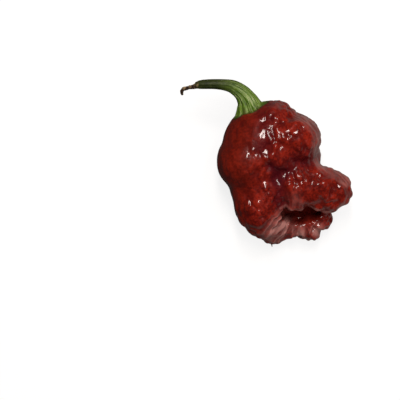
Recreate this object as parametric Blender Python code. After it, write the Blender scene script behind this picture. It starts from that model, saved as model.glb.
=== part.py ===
"""A seven pot brain strain pepper as picked, lying on its side.

Metres, +Z up. The origin is the middle of the pepper's bounding box, at the surface it lies on.
The stem end points to +Y and -X, and the puckered blossom end to -Y. Sizes below are in millimetres
unless a name says otherwise, and mm() turns them into metres.
"""

import math

import bmesh
import bpy
import numpy as np
from mathutils import Matrix, Vector, noise

MM = 0.001

# The pod is a stack of swollen lobes: the centre of each, its three radii, and its turn about Z in degrees.
LOBES = {
    "body": ((0.5, 6.2, 16.0), (16.0, 15.0, 14.0), 0),
    "shoulder_right": ((9.0, 8.4, 17.6), (10.2, 8.9, 13.35), 0),
    "shoulder_left": ((-6.6, 0.6, 16.0), (10.9, 11.0, 13.2), 0),
    "shoulder_top": ((1.8, 12.6, 17.0), (9.8, 9.4, 11.8), 0),
    "under_left": ((-6.4, 2.0, 9.6), (9.6, 11.0, 9.9), 0),
    "under_right": ((8.6, 6.0, 9.6), (9.6, 9.6, 10.3), 0),
    "nose": ((5.2, 0.8, 22.0), (3.0, 4.6, 6.4), -8),
    "brow": ((11.2, 4.0, 19.8), (6.4, 4.6, 8.0), 0),
    "waist": ((-0.6, -7.0, 13.6), (12.6, 12.5, 12.2), 0),
    "pinch_floor": ((10.5, -1.0, 15.5), (7.0, 5.0, 8.3), 0),
    "knot": ((4.2, -5.2, 17.6), (5.0, 4.2, 5.6), 0),
    "side_web": ((15.2, 1.2, 12.5), (4.2, 6.0, 6.6), 0),
    "left_lobe": ((-2.6, -14.2, 14.2), (9.0, 10.4, 10.8), 12),
    "left_lobe_end": ((-0.4, -19.6, 10.6), (7.6, 7.4, 10.4), 0),
    "left_lobe_hem": ((2.8, -22.6, 6.5), (6.2, 6.2, 6.4), 0),
    "right_lobe_root": ((10.0, -7.2, 17.1), (8.2, 7.6, 9.2), 0),
    "right_lobe": ((17.4, -8.1, 15.8), (8.8, 7.8, 9.2), 0),
    "right_lobe_belly": ((20.4, -11.8, 14.0), (6.4, 5.8, 8.0), 0),
    "right_lobe_end": ((24.0, -9.5, 14.6), (6.75, 6.8, 7.5), 0),
    "back_lobe": ((11.4, -16.0, 6.6), (12.4, 10.4, 6.8), 0),
    "back_rim_right": ((20.2, -19.0, 8.4), (3.8, 4.6, 4.8), 0),
    "back_rim_middle": ((15.4, -23.2, 7.0), (4.6, 4.6, 4.8), 0),
}

# The hollow that the lobes leave at the blossom end: ellipsoids cut out of the pod, each with a tilt about X too.
HOLLOW = {
    "throat": ((12.0, -16.4, 11.8), (7.3, 9.4, 3.5), 0, -36),
    "left_corner": ((6.2, -17.8, 14.5), (1.7, 2.6, 5.5), 0, 0),
    "notch": ((15.2, -17.4, 18.0), (2.4, 2.6, 6.0), 0, 0),
}

# The wavy lip of the front lobes, which hangs over the hollow.
LIP = {
    "lip_nose_left": ((8.5, -12.4, 18.2), (2.5, 4.9, 5.2), 0, 0),
    "lip_nose_right": ((11.0, -12.2, 18.4), (3.5, 4.8, 5.2), 0, 0),
    "lip_middle": ((13.8, -10.8, 18.2), (3.6, 4.6, 5.2), 0, 0),
    "lip_right": ((18.4, -12.6, 16.8), (4.6, 4.4, 4.6), 0, 0),
    "lip_end": ((22.2, -13.4, 15.4), (3.6, 4.0, 4.4), 0, 0),
}

# Creases pressed into the pod's top: the points each runs through, seen from above, its depth and its width.
CREASES = {
    "pinch": (
        ((19.0, 3.6), (16.0, 1.8), (12.1, 0.2), (9.3, 0.0), (7.6, -2.2), (6.2, -3.9), (3.4, -5.4)), 0.7, 1.7
    ),
    "pinch_left": (((6.2, -3.6), (3.4, -3.0), (0.6, -1.6)), 0.8, 0.9),
    "between_lobes": (((3.0, -6.0), (4.0, -10.0), (4.8, -14.4)), 0.7, 1.6),
    "stem_valley": (((-1.5, 18.0), (-0.6, 12.0), (-1.6, 5.0)), 0.5, 2.4),
}

# The middle of the hollow and the way it faces, round which its rim is puckered in pleats.
PUCKER_CENTRE = (12.0, -16.5, 12.0)
PUCKER_AXIS = (0.15, -0.80, 0.58)
PLEATS = 13
PLEAT_DEPTH = 0.8
PLEATS_START = (2.5, 6.5)
PLEATS_END = (9.0, 14.0)
PLEATS_BELOW = (-18.0, -20.5)

# The skin's swellings and pimples: how far apart they are and how high they stand where the skin is roughest.
LUMP_SIZE, LUMP_HEIGHT, LUMP_STRETCH = 4.6, 0.60, (1, 1, 0.7)
SMALL_LUMP_SIZE, SMALL_LUMP_HEIGHT, SMALL_LUMP_STRETCH = 2.5, 0.42, (1, 0.8, 0.6)
WART_SIZE, WART_HEIGHT = 1.9, 0.20
WART_BEND_SIZE, WART_BEND = 3.0, 0.8

# The skin is smooth at the left and roughens across these values of x - ROUGH_SLANT * y.
ROUGH_SLANT = 0.25
ROUGH_FROM, ROUGH_TO = -9.5, 1.0
SMOOTHEST = 0.25

# The dried remnant of the flower's style, a short spine on the rim: its root, its tip and their widths.
STYLE_ROOT = (2.0, -27.0, 5.6)
STYLE_TIP = (2.5, -29.8, 5.0)
STYLE_WIDTH = 1.3
STYLE_TIP_WIDTH = 0.3

# The stem's middle line from inside the calyx to its dry end, each point with the stem's radius there.
STEM_LINE = (
    ((-4.3, 14.2, 16.6), 6.3),
    ((-5.4, 17.2, 17.7), 5.65),
    ((-6.1, 19.6, 18.7), 4.5),
    ((-7.0, 21.9, 19.4), 3.5),
    ((-8.9, 24.4, 19.9), 2.8),
    ((-11.8, 26.3, 20.2), 2.4),
    ((-15.0, 27.0, 20.3), 2.0),
    ((-18.7, 27.2, 20.2), 1.8),
    ((-22.3, 27.1, 19.8), 1.7),
    ((-24.1, 26.9, 19.4), 1.5),
    ((-25.5, 26.4, 19.0), 1.0),
    ((-27.6, 26.1, 18.7), 0.9),
    ((-29.1, 25.6, 18.4), 0.85),
    ((-29.6, 24.7, 18.0), 0.75),
    ((-29.4, 23.6, 17.6), 0.6),
)
STEM_RIBS = 10
STEM_RIB_HEIGHT = 0.055
STEM_SIDES = 40
STEM_RINGS = 90

# The calyx is a thin green cap with a scalloped hem on the pod's shoulder, which faces along CALYX_AXIS.
CALYX_MIDDLE = (-6.2, 17.8, 17.8)
CALYX_AXIS = (-0.48, 0.82, 0.28)
CALYX_RADIUS = 5.8
CALYX_THICKNESS = 0.75
CALYX_DEPTH, CALYX_RISE = 9.0, 3.0
CALYX_SIDES = 90
CALYX_TEETH = 5
CALYX_TOOTH = 0.45
CALYX_WAVE = 0.25
LONG_TOOTH = 2.3
LONG_TOOTH_TURN = math.radians(-60)
LONG_TOOTH_SPREAD = 0.45

# The skin round the calyx is free of lumps up to the first distance, and has them all from the second.
BARE_ROUND_CALYX = (6.0, 9.0)

# The pod and the stem are two bodies with this gap between them.
GAP = 0.35

# The height, among the lobes, of the surface that the pod stands on. Its swellings are pressed flat there.
FLOOR_HEIGHT = 0.34

# The skins' mesh sizes, how much their joints are rounded, and how many triangles each body may have.
POD_MESH = 0.6
STEM_MESH = 0.3
LOBE_ROUNDING = 11.0
HOLLOW_ROUNDING = 1.4
SKIN_ROUNDING = 2.0
RIM_ROUNDING = 4.0
RIM_REACH = (8.0, 11.0)
RIM_BELOW = (-15.5, -18.0)
STEM_ROUNDING = 0.27
POD_TRIANGLES = 9000
STEM_TRIANGLES = 2600


def mm(values):
    """Millimetres as a vector in metres."""
    return Vector(values) * MM


def fade(value, low, high):
    """0 below low, 1 above high, and smooth between."""
    share = max(0.0, min(1.0, (value - low) / (high - low)))
    return share * share * (3 - 2 * share)


def select_only(objects):
    bpy.ops.object.select_all(action="DESELECT")
    for obj in objects:
        obj.select_set(True)
    bpy.context.view_layer.objects.active = objects[0]


def apply_all(obj):
    select_only([obj])
    for modifier in list(obj.modifiers):
        bpy.ops.object.modifier_apply(modifier=modifier.name)


def add_ellipsoids(table, name):
    """One object made of every ellipsoid in the table, still overlapping."""
    made = []
    for centre, radii, turn, *tilt in table.values():
        bpy.ops.mesh.primitive_ico_sphere_add(
            subdivisions=4, radius=1, location=mm(centre), rotation=(math.radians(sum(tilt)), 0, math.radians(turn))
        )
        ball = bpy.context.object
        ball.scale = mm(radii)
        made.append(ball)
    select_only(made)
    bpy.ops.object.transform_apply(location=True, rotation=True, scale=True)
    if len(made) > 1:
        bpy.ops.object.join()
    joined = bpy.context.object
    joined.name = name
    return joined


def put_in_order(obj):
    """Numbers the mesh's points and faces by their place, so that every run gives the same mesh."""
    mesh = obj.data
    places = [tuple(vertex.co) for vertex in mesh.vertices]
    order = sorted(range(len(places)), key=lambda old: places[old])
    number = {old: new for new, old in enumerate(order)}
    faces = []
    for face in mesh.polygons:
        corners = [number[old] for old in face.vertices]
        first = corners.index(min(corners))
        faces.append(corners[first:] + corners[:first])
    mesh.clear_geometry()
    mesh.from_pydata([places[old] for old in order], [], sorted(faces))
    mesh.update()


def point_normals(mesh):
    """The outward direction at each point, from the faces round it, summed in a fixed order."""
    places = np.array([vertex.co for vertex in mesh.vertices])
    mesh.calc_loop_triangles()
    corners = np.array([triangle.vertices for triangle in mesh.loop_triangles])
    a, b, c = (places[corners[:, k]] for k in range(3))
    across = np.cross(b - a, c - a)
    sums = np.zeros_like(places)
    for k in range(3):
        np.add.at(sums, corners[:, k], across)
    return [Vector(total).normalized() for total in sums]


def one_skin(obj, voxel, rounding):
    """Joins overlapping shells into one even skin, and softens it over about the square root of rounding."""
    skin = obj.modifiers.new("one_skin", "REMESH")
    skin.mode = "VOXEL"
    skin.voxel_size = voxel * MM
    apply_all(obj)
    put_in_order(obj)
    soft = obj.modifiers.new("soften", "SMOOTH")
    soft.factor = 0.5
    soft.iterations = round(rounding / voxel ** 2)
    apply_all(obj)


def boolean(obj, other, operation):
    cut = obj.modifiers.new(operation.lower(), "BOOLEAN")
    cut.operation = operation
    cut.object = other
    apply_all(obj)
    bpy.data.objects.remove(other)


def soften_rim(obj, voxel):
    """Rounds the lower rim of the hollow once more."""
    rim = obj.vertex_groups.new(name="rim")
    for vertex in obj.data.vertices:
        point = vertex.co / MM
        near = 1 - fade((point - Vector(PUCKER_CENTRE)).length, *RIM_REACH)
        rim.add([vertex.index], near * fade(point.y, *RIM_BELOW), "REPLACE")
    soft = obj.modifiers.new("soften_rim", "SMOOTH")
    soft.vertex_group = "rim"
    soft.factor = 0.5
    soft.iterations = round(RIM_ROUNDING / voxel ** 2)
    apply_all(obj)


def reduce_to(obj, triangles):
    select_only([obj])
    coarse = obj.modifiers.new("fewer_faces", "DECIMATE")
    obj.data.calc_loop_triangles()
    coarse.ratio = triangles / len(obj.data.loop_triangles)
    coarse.use_collapse_triangulate = True
    apply_all(obj)


def distance_to_path(x, y, path):
    """How far (x, y) is from a line through the path's points."""
    nearest = 1e9
    for (ax, ay), (bx, by) in zip(path, path[1:]):
        dx, dy = bx - ax, by - ay
        share = max(0.0, min(1.0, ((x - ax) * dx + (y - ay) * dy) / (dx * dx + dy * dy)))
        nearest = min(nearest, math.hypot(x - ax - share * dx, y - ay - share * dy))
    return nearest


def crease_depth(point, normal):
    facing = fade(normal.z, 0.0, 0.5)
    if facing == 0:
        return 0.0
    depth = 0.0
    for path, deep, wide in CREASES.values():
        depth += deep * math.exp(-((distance_to_path(point.x, point.y, path) / wide) ** 2))
    return depth * facing


def roughness(point):
    """How much of their full height the lumps and warts have at a point."""
    across = point.x - ROUGH_SLANT * point.y
    return SMOOTHEST + (1 - SMOOTHEST) * fade(across, ROUGH_FROM, ROUGH_TO)


def lumps(point):
    """Soft swellings a few millimetres across."""
    large = noise.noise(point * Vector(LUMP_STRETCH) / LUMP_SIZE)
    small = noise.noise(point * Vector(SMALL_LUMP_STRETCH) / SMALL_LUMP_SIZE + Vector((7, 3, 1)))
    return large * LUMP_HEIGHT + small * SMALL_LUMP_HEIGHT


def warts(point):
    """Close-packed pimples, with a valley all round each."""
    at = point / WART_BEND_SIZE
    bend = Vector([noise.noise(at + offset) for offset in map(Vector, ((0, 0, 0), (31, 7, 5), (11, 47, 3)))])
    first, second = noise.voronoi((point + bend * WART_BEND) / WART_SIZE)[0][:2]
    return (fade(second - first, 0.0, 0.45) - 0.6) * WART_HEIGHT


def pleats(point):
    """Gathers that run out from the hollow across its lower rim."""
    axis = Vector(PUCKER_AXIS).normalized()
    arm = point - Vector(PUCKER_CENTRE)
    along = arm.dot(axis)
    flat = arm - axis * along
    side = Vector((1, 0, 0)).cross(axis).normalized()
    up = axis.cross(side)
    angle = math.atan2(flat.dot(side), flat.dot(up))
    wander = noise.noise(point / 5.0) * 2.6
    wave = math.sin(PLEATS * angle + wander) * 0.65 + math.sin(1.8 * PLEATS * angle - 1.7 * wander) * 0.35
    near = fade(along, -3.0, 3.0) * fade(flat.length, *PLEATS_START) * (1 - fade(flat.length, *PLEATS_END))
    return wave * PLEAT_DEPTH * near * fade(point.y, *PLEATS_BELOW)


def shape_skin(obj):
    """Presses the creases, lumps, warts and pleats into the pod, but not where the calyx lies."""
    calyx = Vector(CALYX_MIDDLE)
    mesh = obj.data
    for vertex, normal in zip(mesh.vertices, point_normals(mesh)):
        point = vertex.co / MM
        bumpy = roughness(point) * fade((point - calyx).length, *BARE_ROUND_CALYX)
        push = (lumps(point) + warts(point)) * bumpy + pleats(point) - crease_depth(point, normal)
        vertex.co += normal * push * MM
    mesh.update()


def flatten_foot(obj):
    """Lowers the pod onto the surface, where its lowest swellings become small flats."""
    for vertex in obj.data.vertices:
        vertex.co.z = max(0.0, vertex.co.z - FLOOR_HEIGHT * MM)


def add_style():
    """A short five-sided spine, its root sunk in the rim."""
    root, tip = mm(STYLE_ROOT), mm(STYLE_TIP)
    way = tip - root
    bpy.ops.mesh.primitive_cone_add(
        vertices=5, radius1=STYLE_WIDTH / 2 * MM, radius2=STYLE_TIP_WIDTH / 2 * MM, depth=way.length
    )
    spine = bpy.context.object
    spine.matrix_world = Matrix.Translation(root + way / 2) @ way.to_track_quat("Z", "Y").to_matrix().to_4x4()
    select_only([spine])
    bpy.ops.object.transform_apply(location=True, rotation=True, scale=True)
    return spine


def build_pod():
    """The lobes in one skin, with the hollow cut out, its lip grown over it and the skin's relief."""
    pod = add_ellipsoids(LOBES, "pod")
    one_skin(pod, POD_MESH, LOBE_ROUNDING)
    hollow = add_ellipsoids(HOLLOW, "hollow")
    one_skin(hollow, POD_MESH, HOLLOW_ROUNDING)
    boolean(pod, hollow, "DIFFERENCE")
    select_only([pod, add_ellipsoids(LIP, "lip")])
    bpy.ops.object.join()
    one_skin(pod, POD_MESH, SKIN_ROUNDING)
    soften_rim(pod, POD_MESH)
    shape_skin(pod)
    reduce_to(pod, POD_TRIANGLES)
    flatten_foot(pod)
    boolean(pod, add_style(), "UNION")
    return pod


def smooth_line(points, count):
    """Places and radii along a Catmull-Rom curve through the given ones."""
    made = []
    spans = len(points) - 1
    for step in range(count):
        at = spans * step / (count - 1)
        i = min(int(at), spans - 1)
        t = at - i
        before = Vector(points[max(i - 1, 0)])
        start = Vector(points[i])
        end = Vector(points[i + 1])
        after = Vector(points[min(i + 2, spans)])
        bend = (before * 2 - start * 5 + end * 4 - after) * t + (start * 3 - before - end * 3 + after) * t * t
        value = start + ((end - before) + bend) * t / 2
        made.append((value.xyz, value.w))
    return made


def add_closed_rings(rings, name):
    """A solid whose side runs through rings of points, which are in metres, with a flat face at each end."""
    build = bmesh.new()
    loops = [[build.verts.new(place) for place in ring] for ring in rings]
    for loop, after in zip(loops, loops[1:]):
        for corner in range(len(loop)):
            beside = (corner + 1) % len(loop)
            build.faces.new((loop[corner], loop[beside], after[beside], after[corner]))
    build.faces.new(loops[0][::-1])
    build.faces.new(loops[-1])
    bmesh.ops.recalc_face_normals(build, faces=build.faces)
    mesh = bpy.data.meshes.new(name)
    build.to_mesh(mesh)
    build.free()
    obj = bpy.data.objects.new(name, mesh)
    bpy.context.collection.objects.link(obj)
    return obj


def add_stalk():
    """The ribbed stalk: rings square to the middle line."""
    line = smooth_line([(*place, radius) for place, radius in STEM_LINE], STEM_RINGS)
    side = Vector((0, 0, 1))
    rings = []
    for number, (place, radius) in enumerate(line):
        ahead = line[min(number + 1, len(line) - 1)][0]
        behind = line[max(number - 1, 0)][0]
        along = (ahead - behind).normalized()
        side = (side - along * side.dot(along)).normalized()
        other = along.cross(side)
        ring = []
        for corner in range(STEM_SIDES):
            angle = math.tau * corner / STEM_SIDES
            reach = radius * (1 + STEM_RIB_HEIGHT * math.cos(STEM_RIBS * angle))
            ring.append((place + (side * math.cos(angle) + other * math.sin(angle)) * reach) * MM)
        rings.append(ring)
    return add_closed_rings(rings, "stem")


def calyx_reach(angle):
    """How far the calyx's hem is from its axis: scalloped, with one long tooth."""
    scallop = CALYX_TOOTH * math.cos(CALYX_TEETH * angle + 0.6) + CALYX_WAVE * math.cos(3 * angle + 2.0)
    off = (angle - LONG_TOOTH_TURN + math.pi) % math.tau - math.pi
    return CALYX_RADIUS + scallop + LONG_TOOTH * math.exp(-((off / LONG_TOOTH_SPREAD) ** 2))


def add_calyx(shoulder):
    """The part of the swollen shoulder that lies inside a scalloped prism along the calyx's axis."""
    axis = Vector(CALYX_AXIS).normalized()
    up = (Vector((0, 0, 1)) - axis * axis.z).normalized()
    right = up.cross(axis)
    rings = []
    for along in (-CALYX_DEPTH, CALYX_RISE):
        ring = []
        for corner in range(CALYX_SIDES):
            angle = math.tau * corner / CALYX_SIDES
            out = (up * math.cos(angle) + right * math.sin(angle)) * calyx_reach(angle)
            ring.append((Vector(CALYX_MIDDLE) + axis * along + out) * MM)
        rings.append(ring)
    calyx = add_closed_rings(rings, "calyx")
    boolean(calyx, shoulder, "INTERSECT")
    return calyx


def swollen_copy(obj, growth):
    """A copy of the object whose skin stands out by growth millimetres."""
    copy = obj.copy()
    copy.data = obj.data.copy()
    bpy.context.collection.objects.link(copy)
    for vertex, normal in zip(copy.data.vertices, point_normals(copy.data)):
        vertex.co += normal * growth * MM
    copy.data.update()
    return copy


def build_stem(pod):
    """The stalk and the calyx in one body, hollowed to clear the pod's shoulder."""
    stem = add_stalk()
    boolean(stem, add_calyx(swollen_copy(pod, GAP + CALYX_THICKNESS)), "UNION")
    one_skin(stem, STEM_MESH, STEM_ROUNDING)
    reduce_to(stem, STEM_TRIANGLES)
    boolean(stem, swollen_copy(pod, GAP), "DIFFERENCE")
    return stem


def give_material(obj, name, colour, roughness):
    """One plain Principled BSDF; the colour is linear red, green and blue."""
    material = bpy.data.materials.new(name)
    material.use_nodes = True
    surface = material.node_tree.nodes["Principled BSDF"]
    surface.inputs["Base Color"].default_value = (*colour, 1)
    surface.inputs["Roughness"].default_value = roughness
    surface.inputs["Metallic"].default_value = 0
    obj.data.materials.clear()
    obj.data.materials.append(material)


def main():
    for obj in list(bpy.data.objects):
        bpy.data.objects.remove(obj)
    pod = build_pod()
    stem = build_stem(pod)
    give_material(pod, "red_skin", (0.17, 0.012, 0.006), 0.3)
    give_material(stem, "green_stem", (0.10, 0.15, 0.03), 0.45)
    for obj in (pod, stem):
        obj.data.shade_smooth()
        obj.data.set_sharp_from_angle(angle=math.radians(60))


main()
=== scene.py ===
import math

import bpy
import numpy as np
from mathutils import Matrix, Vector, noise
from mathutils.bvhtree import BVHTree


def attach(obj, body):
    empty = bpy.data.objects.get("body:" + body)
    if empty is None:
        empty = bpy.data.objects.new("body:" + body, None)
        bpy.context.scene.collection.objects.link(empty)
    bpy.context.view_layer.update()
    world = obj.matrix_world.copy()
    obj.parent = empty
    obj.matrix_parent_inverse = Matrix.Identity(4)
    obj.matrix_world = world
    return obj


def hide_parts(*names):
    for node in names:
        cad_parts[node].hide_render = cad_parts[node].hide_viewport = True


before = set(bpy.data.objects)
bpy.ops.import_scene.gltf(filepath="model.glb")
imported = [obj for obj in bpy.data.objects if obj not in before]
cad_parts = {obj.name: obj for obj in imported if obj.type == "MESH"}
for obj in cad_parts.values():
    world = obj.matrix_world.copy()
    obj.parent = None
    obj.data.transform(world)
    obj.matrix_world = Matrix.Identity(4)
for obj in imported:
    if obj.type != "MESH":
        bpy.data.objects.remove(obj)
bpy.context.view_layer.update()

# The view is the photograph's, straight down on the pepper from half a metre up, with the camera over a
# point to its lower left. The picture is 140 mm wide at the height of the pod's middle.
MM = 0.001
PICTURE_MIDDLE = Vector((-23.24, -12.92, 15.0)) * MM
PICTURE_WIDTH = 140 * MM
CAMERA_HEIGHT = 500 * MM

bpy.ops.object.camera_add(location=PICTURE_MIDDLE + Vector((0, 0, CAMERA_HEIGHT)), rotation=(0, 0, 0))
camera = bpy.context.object
camera.data.sensor_width = 36
camera.data.lens = camera.data.sensor_width * CAMERA_HEIGHT / PICTURE_WIDTH
camera.data.clip_start = 10 * MM
bpy.context.scene.camera = camera
bpy.context.scene.view_settings.view_transform = "Standard"

# The pod is one ripe fleshy fruit, grown in swollen lobes that a crease pinches in two. Its blossom end is
# drawn in to a hollow under a wavy lip, and its thin glossy skin is crowded with lumps, pimples and wrinkles.
# It lies on its side, flattened a little where it touches the paper. Sizes are in mm and turns in degrees.

# Each lobe: its middle, its three radii and its turn about Z.
LOBES = {
    "body": ((0.5, 6.2, 16.0), (16.0, 15.0, 14.0), 0),
    "shoulder_right": ((9.0, 8.4, 17.6), (10.2, 8.9, 13.2), 0),
    "shoulder_left": ((-6.6, 0.6, 16.0), (10.9, 11.0, 13.2), 0),
    "shoulder_top": ((1.8, 12.6, 17.0), (9.8, 9.4, 11.8), 0),
    "under_left": ((-6.4, 2.0, 9.6), (9.6, 11.0, 9.9), 0),
    "under_right": ((8.6, 6.0, 9.6), (9.6, 9.6, 10.3), 0),
    "nose": ((5.2, 0.8, 22.0), (3.0, 4.6, 6.4), -8),
    "brow": ((11.2, 4.0, 19.8), (6.4, 4.6, 8.0), 0),
    "waist": ((-0.6, -7.0, 13.6), (12.6, 12.5, 12.2), 0),
    "pinch_floor": ((10.5, -1.0, 15.5), (7.0, 5.0, 8.3), 0),
    "knot": ((4.2, -5.2, 17.6), (5.0, 4.2, 5.6), 0),
    "side_web": ((15.2, 1.2, 12.5), (4.2, 6.0, 6.6), 0),
    "left_lobe": ((-2.6, -14.2, 14.2), (9.0, 10.4, 10.8), 12),
    "left_lobe_end": ((-0.4, -19.6, 10.6), (7.6, 7.4, 10.4), 0),
    "left_lobe_hem": ((2.8, -22.6, 6.5), (6.2, 6.2, 6.4), 0),
    "right_lobe_root": ((10.0, -7.2, 17.1), (8.2, 7.6, 9.2), 0),
    "right_lobe": ((17.4, -8.1, 15.8), (8.8, 7.8, 9.2), 0),
    "right_lobe_belly": ((20.4, -11.8, 14.0), (6.4, 5.8, 8.0), 0),
    "right_lobe_end": ((24.0, -9.5, 14.6), (6.4, 6.7, 7.4), 0),
    "back_lobe": ((11.4, -16.0, 6.6), (12.4, 10.4, 6.8), 0),
    "back_rim_right": ((20.2, -19.0, 8.4), (3.8, 4.6, 4.8), 0),
    "back_rim_middle": ((15.4, -23.2, 7.0), (4.6, 4.6, 4.8), 0),
}
# The hollow's and the lip's parts are given in the same way, and then by their tilt about X.
HOLLOW = {
    "throat": ((12.0, -16.4, 11.8), (7.3, 9.4, 3.5), 0, -36),
    "left_corner": ((6.2, -17.8, 14.5), (1.7, 2.6, 5.5), 0, 0),
    "notch": ((15.2, -17.4, 18.0), (2.4, 2.6, 6.0), 0, 0),
}
LIP = {
    "lip_nose_left": ((8.5, -12.4, 18.2), (2.5, 4.9, 5.2), 0, 0),
    "lip_nose_right": ((11.0, -12.2, 18.4), (3.5, 4.8, 5.2), 0, 0),
    "lip_middle": ((13.8, -10.8, 18.2), (3.6, 4.6, 5.2), 0, 0),
    "lip_right": ((18.4, -12.6, 16.8), (4.6, 4.4, 4.6), 0, 0),
    "lip_end": ((22.2, -13.4, 15.4), (3.6, 4.0, 4.4), 0, 0),
}
# Each crease: its path seen from above, its depth and how far it spreads.
CREASES = {
    "pinch": (
        ((19.0, 3.6), (16.0, 1.8), (12.1, 0.2), (9.3, 0.0), (7.6, -2.2), (6.2, -3.9), (3.4, -5.4)), 0.7, 1.7,
    ),
    "pinch_left": (((6.2, -3.6), (3.4, -3.0), (0.6, -1.6)), 0.8, 0.9),
    "between_lobes": (((3.0, -6.0), (4.0, -10.0), (4.8, -14.4)), 0.7, 1.6),
    "stem_valley": (((-1.5, 18.0), (-0.6, 12.0), (-1.6, 5.0)), 0.5, 2.4),
}
# Each band of wrinkles: its path seen from above, its reach to either side, the spacing and the height of the
# wrinkles, how strongly a painted pale sheen lightens them, and the steepest skin that carries them, by how
# far it faces upwards.
WRINKLES = {
    "right_side": (
        ((9.0, 18.6), (13.6, 15.0), (17.2, 11.0), (18.3, 7.0), (17.9, 3.4), (18.8, 0.4), (21.6, -1.8),
         (26.0, -4.0), (29.4, -8.0)), 3.4, 1.0, 0.14, 0.5, 0.05,
    ),
    "nose": (((3.4, 5.0), (4.8, 1.0), (6.0, -2.6)), 2.6, 0.75, 0.24, 0.0, -0.15),
    "lip": (((8.0, -8.0), (9.2, -12.5), (9.6, -17.0)), 4.0, 1.2, 0.12, 0.2, -0.15),
    "rim_left": (((9.6, -17.0), (4.6, -22.6), (0.4, -28.2)), 5.2, 1.4, 0.45, 1.0, -0.15),
    "rim_middle": (((12.6, -20.2), (12.0, -23.0), (11.6, -26.4)), 3.4, 1.5, 0.45, 1.0, -0.15),
    "rim_right": (((20.6, -19.6), (20.2, -21.0), (18.2, -23.4), (16.6, -26.2)), 3.4, 1.3, 0.45, 0.8, -0.15),
}
# Along this path the lip's edge is lightened with a painted pale highlight.
LIP_EDGE = (
    (4.6, -15.8), (6.5, -14.7), (7.5, -15.9), (9.3, -17.3), (11.9, -16.8), (14.5, -15.0), (16.5, -16.0),
    (18.7, -16.8), (23.0, -17.5),
)
LIP_EDGE_WIDTH, LIP_EDGE_HEIGHT, LIP_EDGE_SHEEN = (0.15, 0.6), (13.5, 15.0), 0.45
PUCKER_MIDDLE = Vector((12.0, -16.5, 12.0))
PUCKER_WAY = Vector((0.15, -0.80, 0.58)).normalized()
PLEATS, PLEAT_HEIGHT = 13, 0.8
# Round this middle, deep in the hollow, the skin is darkened with painted shade.
HOLLOW_MIDDLE, HOLLOW_STRETCH, HOLLOW_SHADE_REACH = (11.8, -16.0, 12.5), (0.62, 1, 0.9), (3.8, 6.4)
RIM_REACH, RIM_BELOW = (8.0, 11.0), (-15.5, -18.0)
CALYX_MIDDLE = Vector((-6.2, 17.8, 17.8))
BARE_ROUND_CALYX = (6.0, 9.0)
SMOOTHEST, ROUGH_FROM, ROUGH_TO = 0.25, -9.5, 1.0
LUMP_SIZE, LUMP_HEIGHT, LUMP_STRETCH = 4.6, 0.6, (1, 1, 0.7)
SMALL_LUMP_SIZE, SMALL_LUMP_HEIGHT, SMALL_LUMP_STRETCH = 2.5, 0.42, (1, 0.8, 0.6)
PIMPLE_SIZE, PIMPLE_HEIGHT, PIMPLE_STRETCH = 2.2, 0.72, (1, 0.75, 0.75)
FLOOR_LEVEL = 0.34
SKIN_MESH = 0.31
LOBE_ROUNDING, HOLLOW_ROUNDING, SKIN_ROUNDING, RIM_ROUNDING = 11.0, 1.4, 2.0, 4.0
RELIEF_SOFTENING = 6


def select_only(*pieces):
    bpy.ops.object.select_all(action="DESELECT")
    for piece in pieces:
        piece.select_set(True)
    bpy.context.view_layer.objects.active = pieces[0]


def apply_modifiers(piece):
    select_only(piece)
    for modifier in list(piece.modifiers):
        bpy.ops.object.modifier_apply(modifier=modifier.name)


def soften(piece, rounds, group=""):
    soft = piece.modifiers.new("soften", "SMOOTH")
    soft.factor = 0.5
    soft.iterations = rounds
    soft.vertex_group = group
    apply_modifiers(piece)


def add_balls(table, name):
    balls = []
    for middle, radii, turn, *tilt in table.values():
        bpy.ops.object.select_all(action="DESELECT")
        bpy.ops.mesh.primitive_ico_sphere_add(
            subdivisions=5, radius=1, location=Vector(middle) * MM,
            rotation=(math.radians(sum(tilt)), 0, math.radians(turn)),
        )
        bpy.context.object.scale = Vector(radii) * MM
        balls.append(bpy.context.object)
    select_only(*balls)
    bpy.ops.object.transform_apply(location=True, rotation=True, scale=True)
    bpy.ops.object.join()
    balls[0].name = name
    return balls[0]


def put_in_order(piece):
    """Numbers a remeshed piece's points and faces by their place, so that each run gives the same mesh."""
    mesh = piece.data
    places = [tuple(vertex.co) for vertex in mesh.vertices]
    order = sorted(range(len(places)), key=lambda old: places[old])
    number = {old: new for new, old in enumerate(order)}
    faces = []
    for face in mesh.polygons:
        corners = [number[old] for old in face.vertices]
        first = corners.index(min(corners))
        faces.append(corners[first:] + corners[:first])
    mesh.clear_geometry()
    mesh.from_pydata([places[old] for old in order], [], sorted(faces))
    mesh.update()


def grow_one_skin(piece, mesh_size, rounding):
    skin = piece.modifiers.new("one_skin", "REMESH")
    skin.mode = "VOXEL"
    skin.voxel_size = mesh_size * MM
    apply_modifiers(piece)
    put_in_order(piece)
    soften(piece, round(rounding / mesh_size ** 2))


def combine(piece, other, operation):
    joint = piece.modifiers.new("combine", "BOOLEAN")
    joint.operation = operation
    joint.object = other
    apply_modifiers(piece)
    bpy.data.objects.remove(other)


def fade(value, low, high):
    share = np.clip((value - low) / (high - low), 0.0, 1.0)
    return share * share * (3 - 2 * share)


def outward_at_points(mesh):
    places = np.array([vertex.co for vertex in mesh.vertices])
    mesh.calc_loop_triangles()
    corners = np.array([triangle.vertices for triangle in mesh.loop_triangles])
    a, b, c = (places[corners[:, k]] for k in range(3))
    across = np.cross(b - a, c - a)
    sums = np.zeros_like(places)
    for k in range(3):
        np.add.at(sums, corners[:, k], across)
    return sums / np.linalg.norm(sums, axis=1)[:, None]


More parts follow.
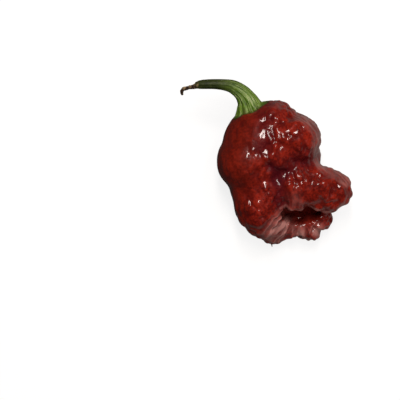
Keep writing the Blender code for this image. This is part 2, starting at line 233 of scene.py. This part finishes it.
def beside_path(points, path):
    """How far each point, seen from above, lies to the side of a path, and how far along it."""
    nearest, side, along = np.full(len(points), 1e9), np.zeros(len(points)), np.zeros(len(points))
    before = 0.0
    for (ax, ay), (bx, by) in zip(path, path[1:]):
        dx, dy = bx - ax, by - ay
        length = math.hypot(dx, dy)
        x, y = points[:, 0] - ax, points[:, 1] - ay
        share = np.clip((x * dx + y * dy) / length ** 2, 0.0, 1.0)
        away = np.hypot(x - share * dx, y - share * dy)
        closer = away < nearest
        nearest = np.where(closer, away, nearest)
        side = np.where(closer, np.copysign(away, x * dy - y * dx), side)
        along = np.where(closer, before + share * length, along)
        before += length
    return side, along


def noise_at(points, size, shift=(0, 0, 0)):
    shift = Vector(shift)
    return np.array([noise.noise(Vector(point) / size + shift) for point in points])


def pimples_at(points, size):
    """Close-packed round pimples: 0.4 on their tops, about -0.6 in the valleys between them."""
    bend = np.stack([noise_at(points, 3.0, shift) for shift in ((0, 0, 0), (31, 7, 5), (11, 47, 3))], axis=1)
    from_top = np.array([noise.voronoi(Vector(point))[0][0] for point in (points + bend * 0.8) / size])
    return 0.4 - 1.9 * np.minimum(from_top, 0.8) ** 2


def pleats_at(points):
    """Gathers that run out from the hollow across its lower rim."""
    side = Vector((1, 0, 0)).cross(PUCKER_WAY).normalized()
    up = PUCKER_WAY.cross(side)
    arm = points - np.array(PUCKER_MIDDLE)
    along, right, rise = (arm @ np.array(way) for way in (PUCKER_WAY, side, up))
    angle, out = np.arctan2(right, rise), np.hypot(right, rise)
    wander = noise_at(points, 5.0) * 2.6
    wave = np.sin(PLEATS * angle + wander) * 0.65 + np.sin(1.8 * PLEATS * angle - 1.7 * wander) * 0.35
    gathers = wave * fade(along, -3, 3) * fade(out, 2.5, 6.5) * fade(out, 14, 9)
    return gathers * fade(points[:, 1], -18.0, -20.5)


pod = add_balls(LOBES, "pod_skin")
grow_one_skin(pod, SKIN_MESH, LOBE_ROUNDING)
hollow = add_balls(HOLLOW, "hollow")
grow_one_skin(hollow, SKIN_MESH, HOLLOW_ROUNDING)
combine(pod, hollow, "DIFFERENCE")
select_only(pod, add_balls(LIP, "lip"))
bpy.ops.object.join()
grow_one_skin(pod, SKIN_MESH, SKIN_ROUNDING)
rim = pod.vertex_groups.new(name="rim")
for vertex in pod.data.vertices:
    away = (vertex.co / MM - PUCKER_MIDDLE).length
    share = (1 - fade(away, *RIM_REACH)) * fade(vertex.co.y / MM, *RIM_BELOW)
    rim.add([vertex.index], float(share), "REPLACE")
soften(pod, round(RIM_ROUNDING / SKIN_MESH ** 2), "rim")

# The relief is worked out at every point of the skin: how rough it is there, how deep in a crease, and how
# high on a wrinkle, a lump, a pimple or a pleat. Round the calyx and on the left shoulder the skin is smooth.
points = np.array([vertex.co for vertex in pod.data.vertices]) / MM
outward = outward_at_points(pod.data)
facing_up = outward[:, 2]
rough = SMOOTHEST + (1 - SMOOTHEST) * fade(points[:, 0] - 0.25 * points[:, 1], ROUGH_FROM, ROUGH_TO)
bare = fade(np.linalg.norm(points - np.array(CALYX_MIDDLE), axis=1), *BARE_ROUND_CALYX)
# The second sum is a mask of painted shade that darkens the skin along the creases.
crease, crease_shade = np.zeros(len(points)), np.zeros(len(points))
for path, deep, wide in CREASES.values():
    side = beside_path(points, path)[0]
    crease += deep * np.exp(-((side / wide) ** 2)) * fade(facing_up, 0.0, 0.5)
    crease_shade += deep * np.exp(-((side / wide / 1.5) ** 2)) * fade(facing_up, -0.3, 0.3)
# The wrinkles are lightened with a painted pale sheen, most of all on their ridges.
wrinkle, pale_sheen, folded = np.zeros(len(points)), np.zeros(len(points)), np.zeros(len(points))
for path, reach, spacing, height, sheen_paleness, steepest in WRINKLES.values():
    side, along = beside_path(points, path)
    near = (1 - fade(np.abs(side), 0.5 * reach, reach)) * fade(facing_up, steepest, steepest + 0.4)
    near *= fade(along, 0.0, 2.5) * fade(along.max() - along, 0.0, 1.5)
    ridge = np.zeros(len(points))
    for k in np.flatnonzero(near):
        ridge[k] = 1 - 3.4 * abs(noise.noise(Vector((side[k] / spacing, along[k] / (9 * spacing), 0.5))))
    ridge = np.maximum(ridge, -0.7)
    wrinkle += ridge * height * near
    folded = np.maximum(folded, near)
    pale_sheen += (0.3 + 0.7 * fade(ridge, 0.0, 1.0)) * near * sheen_paleness * fade(along, 0.0, 5.5)
lumps = noise_at(points * LUMP_STRETCH, LUMP_SIZE) * LUMP_HEIGHT
lumps += noise_at(points * SMALL_LUMP_STRETCH, SMALL_LUMP_SIZE, (7, 3, 1)) * SMALL_LUMP_HEIGHT
patchy = 0.5 + fade(noise_at(points, 6.0, (3, 9, 4)), -0.3, 0.35)
pimples = pimples_at(points * PIMPLE_STRETCH, PIMPLE_SIZE) * PIMPLE_HEIGHT * patchy
pimples *= 0.55 + 0.45 * fade(facing_up, 0.1, 0.5)
pleat = pleats_at(points)
calm = 1 - 0.65 * folded
push = (lumps * calm + pimples * calm) * rough * bare + pleat * PLEAT_HEIGHT + wrinkle - crease
points += outward * push[:, None]
points[:, 2] = np.maximum(0.0, points[:, 2] - FLOOR_LEVEL)
pod.data.vertices.foreach_set("co", (points * MM).ravel())
soften(pod, RELIEF_SOFTENING)
from_lip_edge = np.abs(beside_path(points, LIP_EDGE)[0])
lip_edge_highlight = (1 - fade(from_lip_edge, *LIP_EDGE_WIDTH)) * fade(points[:, 2], *LIP_EDGE_HEIGHT)
into_hollow = np.linalg.norm((points - HOLLOW_MIDDLE) * HOLLOW_STRETCH, axis=1)
MASKS = {
    "crease_shade": np.minimum(1.0, crease_shade / 0.9),
    "raised": 0.5 + 1.2 * (pimples * rough * bare + wrinkle) + 0.25 * pleat,
    "hollow_shade": 1 - fade(into_hollow, *HOLLOW_SHADE_REACH),
    "smooth": 1 - rough,
    "pale_sheen": np.clip(pale_sheen + LIP_EDGE_SHEEN * lip_edge_highlight, 0.0, 1.0),
}
for name, values in MASKS.items():
    pod.data.attributes.new(name, "FLOAT", "POINT").data.foreach_set("value", values)
pod.data.update()
pod.data.shade_smooth()


def make_blotches():
    """Soft irregular blotches at two sizes, as plant skin has, from 0 to 1."""
    group = bpy.data.node_groups.new("blotches", "ShaderNodeTree")
    group.interface.new_socket("Vector", in_out="INPUT", socket_type="NodeSocketVector")
    group.interface.new_socket("Scale", in_out="INPUT", socket_type="NodeSocketFloat")
    group.interface.new_socket("Finer", in_out="INPUT", socket_type="NodeSocketFloat")
    group.interface.new_socket("Blotch", in_out="OUTPUT", socket_type="NodeSocketFloat")
    start = group.nodes.new("NodeGroupInput")
    end = group.nodes.new("NodeGroupOutput")
    large = group.nodes.new("ShaderNodeTexNoise")
    large.inputs["Detail"].default_value = 2
    small = group.nodes.new("ShaderNodeTexNoise")
    small.inputs["Detail"].default_value = 3
    finer = group.nodes.new("ShaderNodeMath")
    finer.operation = "MULTIPLY"
    both = group.nodes.new("ShaderNodeMath")
    both.operation = "ADD"
    spread = group.nodes.new("ShaderNodeMapRange")
    spread.inputs["From Min"].default_value = 0.8
    spread.inputs["From Max"].default_value = 1.2
    for made in (large, small):
        group.links.new(start.outputs["Vector"], made.inputs["Vector"])
    group.links.new(start.outputs["Scale"], large.inputs["Scale"])
    group.links.new(start.outputs["Scale"], finer.inputs[0])
    group.links.new(start.outputs["Finer"], finer.inputs[1])
    group.links.new(finer.outputs[0], small.inputs["Scale"])
    group.links.new(large.outputs["Fac"], both.inputs[0])
    group.links.new(small.outputs["Fac"], both.inputs[1])
    group.links.new(both.outputs[0], spread.inputs["Value"])
    group.links.new(spread.outputs["Result"], end.inputs["Blotch"])
    return group


blotches = make_blotches()


def add_blotches(tree, vector, scale, finer):
    made = tree.nodes.new("ShaderNodeGroup")
    made.node_tree = blotches
    made.inputs["Scale"].default_value = scale
    made.inputs["Finer"].default_value = finer
    tree.links.new(vector, made.inputs["Vector"])
    return made.outputs["Blotch"]


def read_attribute(tree, name, output="Fac"):
    made = tree.nodes.new("ShaderNodeAttribute")
    made.attribute_name = name
    return made.outputs[output]


def multiply(tree, *values):
    made = tree.nodes.new("ShaderNodeMath")
    made.operation = "MULTIPLY"
    for slot, value in zip(made.inputs, values):
        if isinstance(value, (int, float)):
            slot.default_value = value
        else:
            tree.links.new(value, slot)
    return made.outputs[0]


def tint(tree, share, under, over):
    made = tree.nodes.new("ShaderNodeMix")
    made.data_type = "RGBA"
    for slot, value in ((made.inputs["Factor"], share), (made.inputs["A"], under), (made.inputs["B"], over)):
        if isinstance(value, tuple):
            slot.default_value = (*value, 1)
        else:
            tree.links.new(value, slot)
    return made.outputs["Result"]


def spread_values(tree, value, low, high, to_low=0.0, to_high=1.0):
    made = tree.nodes.new("ShaderNodeMapRange")
    made.interpolation_type = "SMOOTHSTEP"
    for slot, number in zip(("From Min", "From Max", "To Min", "To Max"), (low, high, to_low, to_high)):
        made.inputs[slot].default_value = number
    tree.links.new(value, made.inputs["Value"])
    return made.outputs["Result"]


def add_noise(tree, vector, scale, detail):
    made = tree.nodes.new("ShaderNodeTexNoise")
    made.inputs["Scale"].default_value = scale
    made.inputs["Detail"].default_value = detail
    tree.links.new(vector, made.inputs["Vector"])
    return made.outputs["Fac"]


def add_bump(tree, surface, height, strength, distance):
    made = tree.nodes.new("ShaderNodeBump")
    made.inputs["Strength"].default_value = strength
    made.inputs["Distance"].default_value = distance
    tree.links.new(height, made.inputs["Height"])
    tree.links.new(made.outputs["Normal"], surface.inputs["Normal"])


def new_material(name):
    material = bpy.data.materials.new(name)
    material.use_nodes = True
    return material, material.node_tree, material.node_tree.nodes["Principled BSDF"]


def wear_only(piece, material):
    piece.data.materials.clear()
    piece.data.materials.append(material)


# The skin is deep red and blotched, and more orange on the smooth shoulder. Painted shade makes it nearly
# maroon down in the creases, between the pimples and deep in the hollow, and a painted pale sheen lightens
# the folds and the lip's edge, which are also less glossy.
DARK_RED, BRIGHT_RED = (0.090, 0.0045, 0.0030), (0.260, 0.0135, 0.0045)
# The valley, crease and hollow colours are painted shade, and the fold colour is a painted pale sheen.
SHOULDER_RED, VALLEY_SHADE_RED, HOLLOW_SHADE_RED = (0.115, 0.0100, 0.0042), (0.075, 0.004, 0.004), (0.060, 0.005, 0.004)
FOLD_SHEEN_PINK, CREASE_SHADE_MAROON = (0.44, 0.20, 0.178), (0.055, 0.0035, 0.0080)

skin, tree, surface = new_material("glossy_red_skin")
place = tree.nodes.new("ShaderNodeTexCoord").outputs["Object"]
blotch = add_blotches(tree, place, 260, 5.0)
colour = tint(tree, blotch, DARK_RED, BRIGHT_RED)
colour = tint(tree, multiply(tree, read_attribute(tree, "smooth"), 0.55), colour, SHOULDER_RED)
# Painted shade darkens the valleys between the pimples, wrinkles and pleats, the creases and the hollow, and
# a painted pale sheen lightens the folds and the lip's edge.
valley_shade = spread_values(tree, read_attribute(tree, "raised"), 0.5, 0.2)
colour = tint(tree, multiply(tree, valley_shade, 0.45), colour, VALLEY_SHADE_RED)
fold_sheen = read_attribute(tree, "pale_sheen")
colour = tint(tree, multiply(tree, fold_sheen, 0.92), colour, FOLD_SHEEN_PINK)
colour = tint(tree, multiply(tree, read_attribute(tree, "crease_shade"), 0.8), colour, CREASE_SHADE_MAROON)
colour = tint(tree, multiply(tree, read_attribute(tree, "hollow_shade"), 0.8), colour, HOLLOW_SHADE_RED)
tree.links.new(colour, surface.inputs["Base Color"])
add_bump(tree, surface, add_noise(tree, place, 1900, 3), 0.6, 0.16 * MM)
tree.links.new(spread_values(tree, blotch, 0.0, 1.0, 0.34, 0.44), surface.inputs["Roughness"])
surface.inputs["Specular IOR Level"].default_value = 0.12
tree.links.new(spread_values(tree, fold_sheen, 0.0, 1.0, 0.75, 0.2), surface.inputs["Coat Weight"])
surface.inputs["Coat Roughness"].default_value = 0.09
wear_only(pod, skin)
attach(pod, "root")
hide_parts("pod")

# The dried remnant of the flower's style is a short dark spine, woody and brittle, left standing on the rim
# where the pod was last joined to its blossom.
STYLE_ROOT, STYLE_TIP = Vector((2.0, -27.0, 5.6)), Vector((2.5, -29.6, 4.8))
STYLE_WIDTH, STYLE_TIP_WIDTH = 1.2, 0.3
STYLE_WOBBLE = 0.16
STYLE_DARK, STYLE_LIGHT = (0.012, 0.006, 0.004), (0.075, 0.035, 0.018)

bpy.ops.object.select_all(action="DESELECT")
way = (STYLE_TIP - STYLE_ROOT) * MM
bpy.ops.mesh.primitive_cone_add(
    vertices=14, radius1=STYLE_WIDTH / 2 * MM, radius2=STYLE_TIP_WIDTH / 2 * MM, depth=way.length,
    location=(STYLE_ROOT + STYLE_TIP) / 2 * MM, rotation=way.to_track_quat("Z", "Y").to_euler(),
)
style = bpy.context.object
style.name = "dried_style"
bpy.ops.object.transform_apply(location=True, rotation=True, scale=True)
bpy.ops.object.mode_set(mode="EDIT")
bpy.ops.mesh.select_all(action="SELECT")
bpy.ops.mesh.subdivide(number_cuts=5)
bpy.ops.object.mode_set(mode="OBJECT")
for vertex in style.data.vertices:
    point = vertex.co / MM
    wobble = [noise.noise(point * 1.6 + Vector(shift)) for shift in ((0, 0, 0), (9, 2, 4), (3, 8, 5))]
    vertex.co += Vector(wobble) * STYLE_WOBBLE * MM
style.data.shade_smooth()
dried, tree, surface = new_material("dried_brown")
place = tree.nodes.new("ShaderNodeTexCoord").outputs["Object"]
colour = tint(tree, add_blotches(tree, place, 500, 3.0), STYLE_DARK, STYLE_LIGHT)
tree.links.new(colour, surface.inputs["Base Color"])
surface.inputs["Roughness"].default_value = 0.7
wear_only(style, dried)
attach(style, "root")

# The stem is the pod's green stalk, fleshy and ribbed along its length. It flares into the calyx, a thin
# scalloped cap that hugs the shoulder and has grown in one with it, and ends in a brown dried hook where it
# was picked. Each point of its middle line has the stem's radius there.
STEM_LINE = (
    ((-4.3, 14.2, 16.6), 6.4), ((-5.4, 17.2, 17.7), 5.75), ((-6.1, 19.6, 18.7), 4.5),
    ((-7.0, 21.9, 19.4), 3.45), ((-8.9, 24.4, 19.9), 2.75), ((-11.8, 26.3, 20.2), 2.3),
    ((-15.0, 27.0, 20.3), 1.9), ((-18.7, 27.2, 20.2), 1.7), ((-22.3, 27.1, 19.8), 1.6),
    ((-24.0, 26.9, 19.4), 1.35), ((-25.4, 26.4, 19.0), 0.8), ((-27.6, 26.0, 18.7), 0.65),
    ((-29.1, 25.6, 18.4), 0.65), ((-29.6, 24.7, 18.0), 0.6), ((-29.4, 23.6, 17.6), 0.45),
)
STEM_SIDES, STEM_RINGS, RING_STEP = 64, 150, 0.3
STEM_RIBS, STEM_RIB_HEIGHT = 12, 0.05
STEM_MESH, STEM_ROUNDING = 0.17, 0.12
RIDGE_HEIGHT, FINE_RIDGE_HEIGHT, CRUMPLE_HEIGHT = 0.12, 0.05, 0.22
DRY_FROM, DRY_TO = -23.4, -25.4
CALYX_WAY = Vector((-0.48, 0.82, 0.28)).normalized()
CALYX_RADIUS, CALYX_THICKNESS, CALYX_LIFT = 5.8, 0.7, 0.1
CALYX_TEETH, CALYX_TOOTH, CALYX_WAVE = 5, 0.45, 0.25
LONG_TOOTH, LONG_TOOTH_TURN, LONG_TOOTH_SPREAD = 2.3, math.radians(-60), 0.45


def along_stem(count):
    """Places and radii along a smooth curve through STEM_LINE."""
    line = [Vector((*place, radius)) for place, radius in STEM_LINE]
    made = []
    for step in range(count):
        at = (len(line) - 1) * step / (count - 1)
        i = min(int(at), len(line) - 2)
        t = at - i
        before, start, end, after = line[max(i - 1, 0)], line[i], line[i + 1], line[min(i + 2, len(line) - 1)]
        bend = (before * 2 - start * 5 + end * 4 - after) * t + (start * 3 - before - end * 3 + after) * t * t
        made.append(start + ((end - before) + bend) * t / 2)
    return made


bpy.ops.object.select_all(action="DESELECT")
bpy.ops.mesh.primitive_circle_add(vertices=STEM_SIDES, radius=1 * MM, fill_type="NGON")
stem = bpy.context.object
stem.name = "stem_and_calyx"
bpy.ops.object.mode_set(mode="EDIT")
bpy.ops.mesh.select_all(action="SELECT")
for ring in range(STEM_RINGS - 1):
    bpy.ops.mesh.extrude_region_move(TRANSFORM_OT_translate={"value": (0, 0, RING_STEP * MM)})
bpy.ops.object.mode_set(mode="OBJECT")
line = along_stem(STEM_RINGS)
rings, side = [], Vector((0, 0, 1))
for number, here in enumerate(line):
    ahead, behind = line[min(number + 1, STEM_RINGS - 1)], line[max(number - 1, 0)]
    forward = (ahead.xyz - behind.xyz).normalized()
    side = (side - forward * side.dot(forward)).normalized()
    rings.append((here.xyz, here.w, side, forward.cross(side)))
for vertex in stem.data.vertices:
    middle, radius, side, other = rings[round(vertex.co.z / (RING_STEP * MM))]
    angle = math.atan2(vertex.co.y, vertex.co.x)
    reach = radius * (1 + STEM_RIB_HEIGHT * math.cos(STEM_RIBS * angle))
    vertex.co = (middle + (side * math.cos(angle) + other * math.sin(angle)) * reach) * MM
stem.data.update()

bpy.ops.object.select_all(action="DESELECT")
bpy.ops.mesh.primitive_circle_add(vertices=120, radius=1, fill_type="TRIFAN")
calyx = bpy.context.object
calyx.name = "calyx"
bpy.ops.object.mode_set(mode="EDIT")
bpy.ops.mesh.select_all(action="SELECT")
bpy.ops.mesh.subdivide(number_cuts=14)
bpy.ops.object.mode_set(mode="OBJECT")
shoulder = BVHTree.FromPolygons(
    [vertex.co / MM for vertex in pod.data.vertices], [tuple(face.vertices) for face in pod.data.polygons]
)
calyx_up = (Vector((0, 0, 1)) - CALYX_WAY * CALYX_WAY.z).normalized()
calyx_right = calyx_up.cross(CALYX_WAY)


def hem_reach(angle):
    """How far the calyx reaches from its middle, round its scalloped hem."""
    scallop = CALYX_TOOTH * math.cos(CALYX_TEETH * angle + 0.6) + CALYX_WAVE * math.cos(3 * angle + 2.0)
    off = (angle - LONG_TOOTH_TURN + math.pi) % math.tau - math.pi
    return CALYX_RADIUS + scallop + LONG_TOOTH * math.exp(-((off / LONG_TOOTH_SPREAD) ** 2))


for vertex in calyx.data.vertices:
    angle, share = math.atan2(vertex.co.y, vertex.co.x), min(1.0, vertex.co.xy.length)
    reach = hem_reach(angle) * share
    out = CALYX_MIDDLE + (calyx_up * math.cos(angle) + calyx_right * math.sin(angle)) * reach
    touch = shoulder.ray_cast(out + CALYX_WAY * 8, -CALYX_WAY)[0] or shoulder.find_nearest(out)[0]
    vertex.co = (touch + CALYX_WAY * CALYX_LIFT) * MM
thick = calyx.modifiers.new("thickness", "SOLIDIFY")
thick.thickness = CALYX_THICKNESS * MM
thick.offset = 1
apply_modifiers(calyx)
combine(stem, calyx, "UNION")
grow_one_skin(stem, STEM_MESH, STEM_ROUNDING)

# The stem's finish follows it: each point keeps its turn round the stem and how far along it lies, how dry
# it is, and how near it is to the calyx's hem.
grain_along, dryness, hem = [], [], []
ring_middles = np.array([tuple(ring[0]) for ring in rings])
for vertex, normal in zip(stem.data.vertices, outward_at_points(stem.data)):
    point, normal = vertex.co / MM, Vector(normal)
    nearest = int(((ring_middles - np.array(point)) ** 2).sum(axis=1).argmin())
    middle, radius, side, other = rings[nearest]
    arm = point - middle
    angle = math.atan2(arm.dot(other), arm.dot(side))
    share = nearest / (STEM_RINGS - 1)
    dry = fade(point.x + 0.9 * noise.noise(point / 0.9), DRY_FROM, DRY_TO)
    ridge = noise.noise(Vector((3.2 * math.cos(angle), 3.2 * math.sin(angle), share * 4)))
    fine = noise.noise(Vector((8 * math.cos(angle), 8 * math.sin(angle), share * 6)))
    crumple = noise.noise(point / 0.7) * CRUMPLE_HEIGHT * dry
    vertex.co += normal * (ridge * RIDGE_HEIGHT + fine * FINE_RIDGE_HEIGHT + crumple) * MM
    arm = point - CALYX_MIDDLE
    right, rise = arm.dot(calyx_right), arm.dot(calyx_up)
    to_hem = math.hypot(right, rise) / hem_reach(math.atan2(right, rise))
    grain_along.append((math.cos(angle), math.sin(angle), share))
    dryness.append(dry)
    hem.append(to_hem + 0.06 * noise.noise(point / 0.8))
grain = stem.data.attributes.new("grain_along", "FLOAT_VECTOR", "POINT")
grain.data.foreach_set("vector", np.array(grain_along).ravel())
stem.data.attributes.new("dry", "FLOAT", "POINT").data.foreach_set("value", dryness)
stem.data.attributes.new("hem", "FLOAT", "POINT").data.foreach_set("value", hem)
stem.data.update()
stem.data.shade_smooth()

# Its green is light at the flare and dark towards the tip, with pale streaks between dark furrows. It turns
# olive at the hem, with a thin dark line of painted shadow along the hem's edge, and brown on the dried end.
LIGHT_GREEN = (0.055, 0.125, 0.006), (0.120, 0.205, 0.018)
DARK_GREEN = (0.012, 0.018, 0.003), (0.034, 0.045, 0.008)
WIDE_STREAK_GREEN, THIN_STREAK_GREEN = (0.17, 0.265, 0.055), (0.41, 0.47, 0.22)
FURROW_GREEN, HEM_SHADOW_LINE = (0.012, 0.022, 0.004), (0.012, 0.010, 0.004)
HEM_OLIVE = (0.035, 0.040, 0.006), (0.085, 0.085, 0.015)
DRY_BROWN = (0.022, 0.010, 0.005), (0.30, 0.21, 0.11)

green, tree, surface = new_material("ribbed_green_stem")
place = tree.nodes.new("ShaderNodeTexCoord").outputs["Object"]
along = read_attribute(tree, "grain_along", "Vector")
split = tree.nodes.new("ShaderNodeSeparateXYZ")
tree.links.new(along, split.inputs[0])
share = split.outputs["Z"]
dry, to_hem = read_attribute(tree, "dry"), read_attribute(tree, "hem")
wide_grain, thin_grain = add_noise(tree, along, 4.5, 2), add_noise(tree, along, 11.0, 2)
blotch = add_blotches(tree, place, 260, 3.0)
toward_tip = spread_values(tree, share, 0.22, 0.50)
colour = tint(tree, toward_tip, tint(tree, blotch, *LIGHT_GREEN), tint(tree, blotch, *DARK_GREEN))
near_flare = spread_values(tree, share, 0.48, 0.22, 0.06, 1.0)
wide_streak = multiply(tree, spread_values(tree, wide_grain, 0.46, 0.66, 0.0, 0.6), near_flare)
colour = tint(tree, wide_streak, colour, WIDE_STREAK_GREEN)
thin_streak = multiply(tree, spread_values(tree, thin_grain, 0.56, 0.66, 0.0, 0.8), near_flare)
colour = tint(tree, thin_streak, colour, THIN_STREAK_GREEN)
colour = tint(tree, spread_values(tree, thin_grain, 0.44, 0.34, 0.0, 0.7), colour, FURROW_GREEN)
at_base = spread_values(tree, share, 0.30, 0.15)
near_hem = multiply(tree, spread_values(tree, to_hem, 0.72, 0.95, 0.0, 0.8), at_base)
colour = tint(tree, near_hem, colour, tint(tree, blotch, *HEM_OLIVE))
# A thin dark line of painted shadow runs along the hem's edge.
hem_shadow_line = multiply(tree, spread_values(tree, to_hem, 0.93, 1.0, 0.0, 0.9), at_base)
colour = tint(tree, hem_shadow_line, colour, HEM_SHADOW_LINE)
colour = tint(tree, dry, colour, tint(tree, spread_values(tree, blotch, 0.3, 0.8), *DRY_BROWN))
tree.links.new(colour, surface.inputs["Base Color"])
add_bump(tree, surface, thin_grain, 0.5, 0.12 * MM)
tree.links.new(spread_values(tree, dry, 0.0, 1.0, 0.46, 0.75), surface.inputs["Roughness"])
surface.inputs["IOR"].default_value = 1.3
wear_only(stem, green)
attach(stem, "root")
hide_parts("stem")

# The pepper lies on white paper. Two narrow strip lamps above the stem end make the crisp oval highlights,
# and a broad soft lamp and a dim white room fill in the rest. The paper throws more light back on the right.
PAPER_SIZE, PAPER_GREY, PAPER_GLOW = 3, (0.22, 0.22, 0.22), 0.82
BOUNCE_LEFT, BOUNCE_RIGHT = (0.10, 0.09, 0.09), (0.45, 0.43, 0.42)
MIRRORED_LEFT, MIRRORED_RIGHT = (0.02, 0.018, 0.017), (0.30, 0.25, 0.24)
LAMPS_AIM, LAMP_COLOUR = Vector((0, 0, 0.015)), (1.0, 0.92, 0.87)

bpy.ops.object.select_all(action="DESELECT")
bpy.ops.mesh.primitive_plane_add(size=PAPER_SIZE, location=(0, 0, 0))
paper = bpy.context.object
paper.name = "paper"
sheet, tree, surface = new_material("white_paper")
light_path = tree.nodes.new("ShaderNodeLightPath")
seen, mirrored = light_path.outputs["Is Camera Ray"], light_path.outputs["Is Glossy Ray"]
across = tree.nodes.new("ShaderNodeSeparateXYZ")
tree.links.new(tree.nodes.new("ShaderNodeTexCoord").outputs["Object"], across.inputs[0])
to_right = spread_values(tree, across.outputs["X"], -0.03, 0.03)
bounce = tint(tree, to_right, BOUNCE_LEFT, BOUNCE_RIGHT)
bounce = tint(tree, mirrored, bounce, tint(tree, to_right, MIRRORED_LEFT, MIRRORED_RIGHT))
tree.links.new(tint(tree, seen, bounce, PAPER_GREY), surface.inputs["Base Color"])
surface.inputs["Roughness"].default_value = 1.0
surface.inputs["Emission Color"].default_value = (1, 1, 1, 1)
tree.links.new(multiply(tree, seen, PAPER_GLOW), surface.inputs["Emission Strength"])
wear_only(paper, sheet)

room = bpy.data.worlds.new("dim_room")
bpy.context.scene.world = room
room.use_nodes = True
room.node_tree.nodes["Background"].inputs["Color"].default_value = (1, 0.98, 0.96, 1)
room.node_tree.nodes["Background"].inputs["Strength"].default_value = 0.18
room.cycles_visibility.glossy = False

# Each lamp: its place, its width and length in m, its power in W, and whether the skin mirrors it.
LAMPS = {
    "main_lamp": ((-0.02, 0.19, 0.46), (0.075, 0.24), 1.6, True),
    "second_lamp": ((0.14, 0.22, 0.44), (0.040, 0.10), 0.35, True),
    "fill_lamp": ((0.16, -0.16, 0.45), (0.30, 0.30), 0.65, False),
}
for name, (spot, size, power, shines) in LAMPS.items():
    bpy.ops.object.light_add(type="AREA", location=spot)
    lamp = bpy.context.object
    lamp.name = name
    lamp.data.shape = "RECTANGLE"
    lamp.data.size, lamp.data.size_y = size
    lamp.data.energy = power
    lamp.data.color = LAMP_COLOUR
    lamp.visible_glossy = shines
    lamp.rotation_euler = (LAMPS_AIM - Vector(spot)).to_track_quat("-Z", "Y").to_euler()
